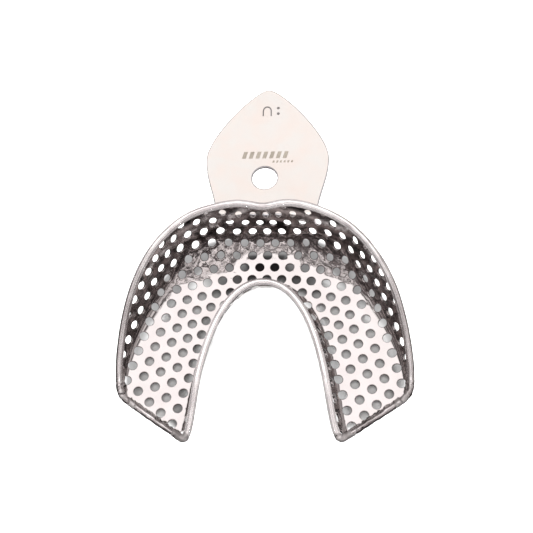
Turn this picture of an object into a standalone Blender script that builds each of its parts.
"""Perforated rim-lock impression tray for the lower jaw: a pressed, perforated U-shaped trough with bead
wires brazed round its edges and a flat leaf-shaped handle butted and brazed against its front wall.

Lengths below are millimetres; meshes are written in metres. +Y is the handle's end, +Z is up.
"""

import math

import bmesh
import bpy
import numpy as np
from mathutils import Vector
from mathutils.bvhtree import BVHTree
from mathutils.geometry import barycentric_transform, delaunay_2d_cdt

MM = 0.001

# Centre lines of the bead wires in plan, as Bezier control points from the front to the heel (right half)
OUTER_RIM = ((0, 29.6), (25.6, 29.6), (37.2, 6.8), (34.9, -16.8))
LINGUAL_RIM = ((0, 10.4), (10.8, 10.4), (16.3, -7.4), (15.4, -26.7), (18.8, -27.6))
LAG_SHARE, LAG_POWER = 0.5, 2.5  # how far the lingual end of a section lags behind its outer end
# Uneven hand fitting of the outer rim. SWELLS: side (-1 left), plan x of the middle, half width, mm outwards;
# HEEL_SHIFTS: side, plan y where the shift begins, plan y where it is full, mm outwards in x
SWELLS = ((-1, 18.5, 6.5, 0.8), (1, 27.0, 4.5, -0.4))
HEEL_SHIFTS = ((-1, -9.0, -17.0, -0.35), (1, 2.0, -14.0, 0.4))

# Heights of the wire centres above the trough's floor
OUTER_FRONT_H, OUTER_HEEL_H = 13.7, 1.9
LINGUAL_FRONT_H, LINGUAL_TIP_H = 7.5, 1.4
NOTCH_DIP, NOTCH_IN, NOTCH_HALF = 1.4, 0.9, 4.5  # relief for the lip's frenum at the front
FRONT_RISE, FRONT_IN = 1.5, 0.7  # the front wall stands higher and steeper than the sides

# Section of the trough: plan run of each wall, and the radius where it meets the floor
RUN_FRONT, RUN_SIDE, RUN_HEEL = 3.5, 4.3, 1.6
FILLET_FRONT, FILLET_SIDE, FILLET_HEEL = 6.0, 4.0, 1.2
LINGUAL_RUN, LINGUAL_SKEW, LINGUAL_FILLET = 2.2, 0.5, 2.0

SHEET = 0.65  # sheet thickness
WIRE_OUTER_R, WIRE_LINGUAL_R, WIRE_HEEL_R = 1.0, 0.92, 0.88
GAP = 0.3  # between neighbouring pieces

# Perforation: rows follow a lattice that bends from the front into each limb
HOLE_R, HOLE_SIDES = 1.18, 6
PITCH_FRONT, PITCH_LIMB = 3.82, 4.25
ROW_FRONT, ROW_HEEL = 3.3, 3.43
ROW_TURN, TURN_COLUMNS = math.radians(16.0), 6.75
LATTICE_X, LATTICE_Y, LATTICE_TILT = 0.4, 17.8, math.radians(-0.9)
EDGE_LAND = 0.2  # solid sheet left between a hole and the sheet's edge

# Handle
PLATE_T, PLATE_TOP, PLATE_X = 1.2, 9.5, 0.6
LEAF = ((0, 65.4), (3.6, 65.4), (15.9, 51.2), (15.9, 44.4), (15.9, 38.9), (13.95, 35.5), (13.0, 30.0))
EYE_X, EYE_Y, EYE_R = -0.6, 38.65, 3.3  # the eye sits slightly off the leaf's middle
BRAZE_R, BRAZE_HALF = 0.5, 11.5  # bead under the plate's root, along the front wall's outer face

HEEL_Z = 0.15  # height of the heel wires' centre line along the floor's edge
CORNER_BEAD, TIP_BEAD = 1.05, 0.9  # radii of the solder beads where the wires meet
CORNER_STOP, TIP_STOP = 1.4, 1.25  # how far the wires stop short of those beads' centres

SECTIONS = 33  # stations along each half of the trough
POINTS = (5, 5, 8, 5, 7)  # section points: lingual wall, its fillet, floor, outer fillet, outer wall


def smooth(a, b, x):
    t = np.clip((x - a) / (b - a), 0, 1)
    return t * t * (3 - 2 * t)


def bezier(points, t):
    rows = [np.outer(np.ones_like(t), p) for p in points]
    t = t[:, None]
    while len(rows) > 1:
        rows = [(1 - t) * a + t * b for a, b in zip(rows, rows[1:])]
    return rows[0]


def rims(u, side):
    """Wire centre lines of one half at the parameters u, as plan points and heights.

    Both halves are drawn on the right; side is 1 for the right half and -1 for the left one.
    """
    plan = bezier(OUTER_RIM, u)
    lingual = bezier(LINGUAL_RIM, (1 - LAG_SHARE) * u + LAG_SHARE * u**LAG_POWER)
    notch = np.exp(-((plan[:, 0] / NOTCH_HALF) ** 2))
    along = np.gradient(plan, axis=0)
    away = np.stack([-along[:, 1], along[:, 0]], 1) / np.linalg.norm(along, axis=1, keepdims=True)
    outer = plan.copy()
    for where, middle, half, rise in SWELLS:
        if where == side:
            outer += away * rise * np.exp(-(((plan[:, :1] - middle) / half) ** 2))
    for where, begins, full, shift in HEEL_SHIFTS:
        if where == side:
            outer[:, 0] += shift * smooth(begins, full, plan[:, 1])
    front = 1 - smooth(0.12, 0.42, u)
    outer[:, 1] -= NOTCH_IN * notch + FRONT_IN * front
    top = OUTER_FRONT_H + (OUTER_HEEL_H - OUTER_FRONT_H) * smooth(0.4, 1, u)
    top += FRONT_RISE * front - NOTCH_DIP * notch
    low = LINGUAL_FRONT_H + (LINGUAL_TIP_H - LINGUAL_FRONT_H) * smooth(0.72, 1, u)
    return outer, top, lingual, low, notch


def arc_at(corner, before, after, radius, n):
    """Arc that rounds a corner, running from the side of before to the side of after."""
    a, b = before - corner, after - corner
    la, lb = np.linalg.norm(a), np.linalg.norm(b)
    a, b = a / la, b / lb
    half = math.acos(np.clip(a @ b, -1, 1)) / 2
    reach = min(radius / math.tan(half), 0.92 * la, 0.92 * lb)
    radius = reach * math.tan(half)
    centre = corner + (a + b) / np.linalg.norm(a + b) * radius / math.sin(half)
    p, q = corner + a * reach - centre, corner + b * reach - centre
    k = np.linspace(0, math.copysign(math.pi - 2 * half, p[0] * q[1] - p[1] * q[0]), n)
    return centre + np.stack([p[0] * np.cos(k) - p[1] * np.sin(k), p[0] * np.sin(k) + p[1] * np.cos(k)], 1)


def section(width, top, low, run, radius, lingual_run):
    """Upper face of the sheet in one section, from the lingual wire's centre to the outer wire's."""
    c = np.array([[0, low], [lingual_run, 0], [width - run, 0], [width, top]])
    inner = arc_at(c[1], c[0], c[2], LINGUAL_FILLET, POINTS[1])
    outer = arc_at(c[2], c[1], c[3], radius, POINTS[3])

    def line(a, b, n):
        return a + np.linspace(0, 1, n + 1)[:-1, None] * (b - a)

    return np.vstack([line(c[0], inner[0], POINTS[0]), inner[:-1], line(inner[-1], outer[0], POINTS[2]),
                      outer[:-1], line(outer[-1], c[3], POINTS[4]), c[3:]])


def pressed_sheet():
    """(pressed, blank): matching grids of points of the pressed upper face and of its flat blank."""
    u = np.linspace(0, 1, SECTIONS)
    early = smooth(0, 0.4, u)
    radius = FILLET_FRONT + (FILLET_SIDE - FILLET_FRONT) * early
    radius += (FILLET_HEEL - FILLET_SIDE) * smooth(0.6, 1, u)
    halves = []
    for side in (-1, 1):
        outer, top, lingual, low, notch = rims(u, side)
        run = RUN_FRONT + (RUN_SIDE - RUN_FRONT) * early + (RUN_HEEL - RUN_SIDE) * smooth(0.55, 1, u)
        run -= NOTCH_IN * notch
        pressed, blank = [], []
        for k in range(SECTIONS):
            across = outer[k] - lingual[k]
            width = np.linalg.norm(across)
            across /= width
            p = section(width, top[k], low[k], run[k], radius[k], LINGUAL_RUN + side * LINGUAL_SKEW * early[k])
            along = np.r_[0, np.cumsum(np.linalg.norm(np.diff(p, axis=0), axis=1))]
            middle = POINTS[0] + POINTS[1] - 1 + POINTS[2] // 2
            flat = along - along[middle] + p[middle, 0]
            pressed.append(np.c_[lingual[k] + p[:, :1] * across, p[:, 1]])
            blank.append(np.c_[lingual[k] + flat[:, None] * across, 0 * flat])
        halves.append((np.array(pressed) * (side, 1, 1), np.array(blank) * (side, 1, 1)))
    (pl, bl), (pr, br) = halves
    return np.concatenate([pl[:0:-1], pr]), np.concatenate([bl[:0:-1], br])


class Press:
    """Carries points of the flat blank on to the pressed sheet."""

    def __init__(self, pressed, blank):
        rows, cols = pressed.shape[:2]
        du, dv = np.gradient(pressed, axis=0), np.gradient(pressed, axis=1)
        normal = np.cross(dv, du)
        normal *= np.sign(normal[:, cols // 2, 2])[:, None, None]
        self.normal = (normal / np.linalg.norm(normal, axis=2, keepdims=True)).reshape(-1, 3)
        self.pressed = pressed.reshape(-1, 3)
        self.blank = [Vector(p) for p in blank.reshape(-1, 3)]
        self.faces = []
        for r in range(rows - 1):
            for c in range(cols - 1):
                k = r * cols + c
                self.faces += [(k, k + 1, k + cols), (k + 1, k + cols + 1, k + cols)]
        self.tree = BVHTree.FromPolygons(self.blank, self.faces)

    def __call__(self, x, y):
        """(point, normal) on the pressed sheet's upper face."""
        place, _, index, _ = self.tree.find_nearest((x, y, 0))
        tri = self.faces[index]
        flat = [self.blank[k] for k in tri]
        point = barycentric_transform(place, *flat, *(Vector(self.pressed[k]) for k in tri))
        normal = barycentric_transform(place, *flat, *(Vector(self.normal[k]) for k in tri))
        return point, normal.normalized()


def inset(line, far, distance):
    """Moves each point of a grid's edge along its own grid row, towards far, by a distance along the row."""
    moved = []
    for start, row in zip(line, far):
        points = np.vstack([start[None], row])
        along = np.r_[0, np.cumsum(np.linalg.norm(np.diff(points, axis=0), axis=1))]
        moved.append([np.interp(distance, along, points[:, k]) for k in range(2)])
    return np.array(moved)


def clip(outline, point, inward):
    """The outline's part on the inward side of a straight cut."""
    kept = []
    side = (outline - point) @ inward
    for k in range(len(outline)):
        a, b, sa, sb = outline[k - 1], outline[k], side[k - 1], side[k]
        if (sa < 0) != (sb < 0):
            kept.append(a + (b - a) * sa / (sa - sb))
        if sb >= 0:
            kept.append(b)
    return np.array(kept)


def sheet_outline(blank, outer_cut, lingual_cut, heel_cut):
    """Edge of the flat blank, held back from the wires' centre lines by the three cuts."""
    flat = blank[..., :2]
    lingual = inset(flat[:, 0], flat[:, 1:], lingual_cut)
    outer = inset(flat[:, -1], flat[:, -2::-1], outer_cut)
    outline = np.vstack([lingual, outer[::-1]])
    for heel in (flat[0], flat[-1]):
        along = (heel[-1] - heel[0]) / np.linalg.norm(heel[-1] - heel[0])
        inward = np.array([-along[1], along[0]])
        inward *= np.sign(inward[1])
        outline = clip(outline, heel[0] + inward * heel_cut, inward)
    return outline


def lattice():
    """Hole centres on the flat blank."""
    index = np.linspace(0, 14, 281)
    share = smooth(0, TURN_COLUMNS, index)
    pitch = PITCH_FRONT + (PITCH_LIMB - PITCH_FRONT) * share
    turn = ROW_TURN * share
    step = np.diff(index)
    xs = np.r_[0, np.cumsum((pitch * np.cos(turn))[:-1] * step)]
    ys = np.r_[0, np.cumsum((pitch * np.sin(turn))[:-1] * step)]
    for row in range(-8, 13):
        shift = 0 if row % 2 else 0.5
        for col in np.arange(-13, 13) + shift:
            a = abs(col)
            t = np.interp(a, index, turn)
            drop = row * (ROW_FRONT + (ROW_HEEL - ROW_FRONT) * np.interp(a, index, share))
            x = np.interp(a, index, xs) - drop * math.sin(t)
            x = math.copysign(x, col or 1)
            y = -np.interp(a, index, ys) - drop * math.cos(t)
            yield x + LATTICE_X - y * LATTICE_TILT, LATTICE_Y + y + x * LATTICE_TILT


def distance_to(outline, point):
    """Shortest distance from a point to a closed outline, negative outside it."""
    a, b = outline, np.roll(outline, -1, axis=0)
    ab = b - a
    t = np.clip(((point - a) * ab).sum(1) / np.maximum((ab**2).sum(1), 1e-12), 0, 1)
    d = np.linalg.norm(a + t[:, None] * ab - point, axis=1).min()
    crossing = ((a[:, 1] > point[1]) != (b[:, 1] > point[1])) & (
        point[0] < a[:, 0] + (point[1] - a[:, 1]) * ab[:, 0] / np.where(ab[:, 1] == 0, 1e-12, ab[:, 1])
    )
    return d if crossing.sum() % 2 else -d


def ring(x, y, radius, sides, phase=0.0):
    k = np.arange(sides) * 2 * math.pi / sides + phase
    return np.stack([x + radius * np.cos(k), y + radius * np.sin(k)], 1)


def triangulate(outline, holes, extra):
    """(points, faces) of a flat region with holes."""
    points = [Vector(p) for p in outline]
    edges = [(k, (k + 1) % len(outline)) for k in range(len(outline))]
    for hole in holes:
        first = len(points)
        points += [Vector(p) for p in hole]
        edges += [(first + k, first + (k + 1) % len(hole)) for k in range(len(hole))]
    points += [Vector(p) for p in extra]
    verts, _, faces, *_ = delaunay_2d_cdt(points, edges, [], 0, 1e-6)
    centres = np.array([np.mean(hole, axis=0) for hole in holes])
    reach = np.linalg.norm(holes[0][0] - centres[0])
    kept = []
    for face in faces:
        mid = np.mean([verts[k] for k in face], axis=0)
        near = np.linalg.norm(centres - mid, axis=1) < reach
        if distance_to(outline, mid) > 0 and all(distance_to(holes[k], mid) < 0 for k in np.flatnonzero(near)):
            kept.append(face)
    return verts, kept


def make_object(name, points, faces, material):
    """A mesh object in metres with its faces turned outwards."""
    mesh = bpy.data.meshes.new(name)
    mesh.from_pydata([Vector(p) * MM for p in points], [], faces)
    bm = bmesh.new()
    bm.from_mesh(mesh)
    bmesh.ops.delete(bm, geom=[v for v in bm.verts if not v.link_faces], context="VERTS")
    bmesh.ops.recalc_face_normals(bm, faces=bm.faces)
    bm.to_mesh(mesh)
    bm.free()
    mesh.materials.append(material)
    obj = bpy.data.objects.new(name, mesh)
    bpy.context.collection.objects.link(obj)
    return obj


def thicken(upper, lower, faces):
    """Closed shell between two matching sets of points, walled along the open edges."""
    n = len(upper)
    sides = {}
    for face in faces:
        for a, b in zip(face, face[1:] + face[:1]):
            sides[(a, b)] = True
    shell = [tuple(face) for face in faces] + [tuple(n + k for k in reversed(face)) for face in faces]
    shell += [(b, a, n + a, n + b) for a, b in sides if (b, a) not in sides]
    return list(upper) + list(lower), shell


def tube(path, radius, sides):
    """Round wire along a path, with flat ends."""
    path = np.asarray(path, float)
    tangent = np.gradient(path, axis=0)
    tangent /= np.linalg.norm(tangent, axis=1, keepdims=True)
    points, faces = [], []
    side = np.cross(tangent, (0, 0, 1))
    side /= np.linalg.norm(side, axis=1, keepdims=True)
    up = np.cross(side, tangent)
    k = np.arange(sides) * 2 * math.pi / sides
    for p, s, w in zip(path, side, up):
        points += list(p + radius * (np.cos(k)[:, None] * s + np.sin(k)[:, None] * w))
    for r in range(len(path) - 1):
        for c in range(sides):
            d = (c + 1) % sides
            faces.append((r * sides + c, r * sides + d, (r + 1) * sides + d, (r + 1) * sides + c))
    faces += [tuple(range(sides)), tuple((len(path) - 1) * sides + c for c in reversed(range(sides)))]
    return points, faces


def spaced(path, step, start=0.0, stop=0.0):
    """The path resampled evenly, with lengths left off at its start and its end."""
    along = np.r_[0, np.cumsum(np.linalg.norm(np.diff(path, axis=0), axis=1))]
    length = along[-1] - start - stop
    t = np.linspace(start, along[-1] - stop, max(3, round(length / step) + 1))
    return np.stack([np.interp(t, along, path[:, k]) for k in range(3)], 1)


def blob(centre, axes, rings=6, sides=10):
    """Rounded bead of solder: an ellipsoid with its long axis first."""
    centre, axes = np.asarray(centre, float), [np.asarray(a, float) for a in axes]
    points, faces = [centre - axes[0]], []
    for r in range(1, rings):
        t = math.pi * r / rings
        for c in range(sides):
            k = 2 * math.pi * c / sides
            across = math.cos(k) * axes[1] + math.sin(k) * axes[2]
            points.append(centre - math.cos(t) * axes[0] + math.sin(t) * across)
    points.append(centre + axes[0])
    for c in range(sides):
        d = (c + 1) % sides
        faces.append((0, 1 + d, 1 + c))
        for r in range(rings - 2):
            a = 1 + r * sides
            faces.append((a + c, a + d, a + sides + d, a + sides + c))
        faces.append((len(points) - 1, len(points) - 1 - sides + c, len(points) - 1 - sides + d))
    return points, faces


def steel(name, colour, roughness):
    material = bpy.data.materials.new(name)
    material.use_nodes = True
    shader = material.node_tree.nodes["Principled BSDF"]
    shader.inputs["Base Color"].default_value = (*colour, 1)
    shader.inputs["Metallic"].default_value = 1.0
    shader.inputs["Roughness"].default_value = roughness
    return material


def tray_shell(pressed, blank):
    press = Press(pressed, blank)
    outline = sheet_outline(blank, WIRE_OUTER_R + GAP, WIRE_LINGUAL_R + GAP, WIRE_HEEL_R + GAP)
    centres = [np.array(p) for p in lattice()]
    centres = [p for p in centres if distance_to(outline, p) > HOLE_R + EDGE_LAND]
    holes = [ring(*p, HOLE_R, HOLE_SIDES, math.pi / 6) for p in centres]
    extra = []
    for row in blank[1:-1:2, :, :2]:
        for point in row[1:-1:2]:
            clear = min(np.linalg.norm(point - c) for c in centres) - HOLE_R
            if clear > 0.9 and distance_to(outline, point) > 0.8:
                extra.append(point)
    verts, faces = triangulate(outline, holes, extra)
    upper, lower = [], []
    for v in verts:
        point, normal = press(*v)
        upper.append(point)
        lower.append(point - normal * SHEET)
    points, shell = thicken(upper, lower, faces)
    print("tray shell:", len(centres), "holes,", len(shell), "faces")
    return make_object("tray_shell", points, shell, steel("steel_sheet", (0.80, 0.78, 0.77), 0.22))


def rim_paths():
    """Centre lines of the outer and lingual wires from the left heel to the right heel, and of both heel wires."""
    u = np.linspace(0, 1, 161)
    t = np.linspace(0, 1, 25)[:, None]
    outers, linguals, heels = [], [], []
    for side in (-1, 1):
        outer, top, lingual, low, _ = rims(u, side)
        o, l = np.c_[outer * (side, 1), top], np.c_[lingual * (side, 1), low]
        heel = l[-1] + t * (o[-1] - l[-1])
        heel[:, 2] = HEEL_Z + (l[-1][2] - HEEL_Z) * (1 - t[:, 0]) ** 6 + (o[-1][2] - HEEL_Z) * t[:, 0] ** 6
        outers.append(o)
        linguals.append(l)
        heels.append(heel)
    whole = [np.vstack([left[:0:-1], right]) for left, right in (outers, linguals)]
    return whole[0], whole[1], heels[0], heels[1]


def wall_outer_face(pressed, x, z, clear):
    """y of a line that runs the distance clear off the front wall's outer face, at the places x and the height z."""
    foot, head = pressed[:, -POINTS[4] - 1], pressed[:, -1]
    share = ((z - foot[:, 2]) / (head[:, 2] - foot[:, 2]))[:, None]
    wall = foot + share * (head - foot)
    near = np.abs(wall[:, 0]) < 18
    rise = (head - foot)[len(pressed) // 2]
    lean = math.atan2(rise[1], rise[2])
    return np.interp(x, wall[near, 0], wall[near, 1]) + (SHEET + clear) / math.cos(lean)


def handle_plate(pressed):
    side = np.vstack([bezier(LEAF[:4], np.linspace(0, 1, 17)), bezier(LEAF[3:], np.linspace(0, 1, 11))[1:-1]])
    xs = np.linspace(LEAF[-1][0], -LEAF[-1][0], 15)
    root = np.stack([xs, wall_outer_face(pressed, xs + PLATE_X, PLATE_TOP, GAP)], 1)
    side = side[side[:, 1] > root[0, 1] + 0.6]
    outline = np.vstack([side, root, (side * (-1, 1))[:0:-1]])
    verts, faces = triangulate(outline, [ring(EYE_X, EYE_Y, EYE_R, 32)], [])
    upper = [Vector((v[0] + PLATE_X, v[1], PLATE_TOP)) for v in verts]
    lower = [p - Vector((0, 0, PLATE_T)) for p in upper]
    points, shell = thicken(upper, lower, faces)
    make_object("handle_plate", points, shell, steel("steel_plate", (0.84, 0.81, 0.79), 0.10))


def handle_braze(pressed, solder):
    """Bead in the corner under the plate's root."""
    xs = np.linspace(-BRAZE_HALF, BRAZE_HALF, 19) + PLATE_X
    height = PLATE_TOP - PLATE_T - GAP - BRAZE_R
    path = np.stack([xs, wall_outer_face(pressed, xs, height + BRAZE_R, GAP + BRAZE_R), height + 0 * xs], 1)
    make_object("handle_braze", *tube(path, BRAZE_R, 8), solder)


def rest_on_origin():
    """Puts the origin at the centre of the whole object's base."""
    objects = bpy.context.scene.objects
    points = np.array([v.co for obj in objects for v in obj.data.vertices])
    low, high = points.min(axis=0), points.max(axis=0)
    shift = Vector(((low[0] + high[0]) / 2, (low[1] + high[1]) / 2, low[2]))
    print("base centre before the shift, mm:", [round(c / MM, 3) for c in shift])
    for obj in objects:
        for v in obj.data.vertices:
            v.co -= shift


def main():
    for obj in list(bpy.data.objects):
        bpy.data.objects.remove(obj)
    pressed, blank = pressed_sheet()
    tray_shell(pressed, blank)
    wire = steel("steel_wire", (0.83, 0.81, 0.80), 0.12)
    outer, lingual, left, right = rim_paths()
    make_object("rim_wire_outer", *tube(spaced(outer, 2.2, CORNER_STOP, CORNER_STOP), WIRE_OUTER_R, 10), wire)
    make_object("rim_wire_lingual", *tube(spaced(lingual, 2.2, TIP_STOP, TIP_STOP), WIRE_LINGUAL_R, 10), wire)
    solder = steel("solder", (0.72, 0.69, 0.67), 0.3)
    for name, path in (("left", left), ("right", right)):
        make_object("rim_wire_heel_" + name, *tube(spaced(path, 2.2, TIP_STOP, CORNER_STOP), WIRE_HEEL_R, 10), wire)
        for place, centre, radius in (("tip", path[0], TIP_BEAD), ("corner", path[-1], CORNER_BEAD)):
            axes = np.eye(3) * radius
            make_object(f"braze_{place}_{name}", *blob(centre, axes), solder)
    handle_plate(pressed)
    handle_braze(pressed, solder)
    rest_on_origin()


main()
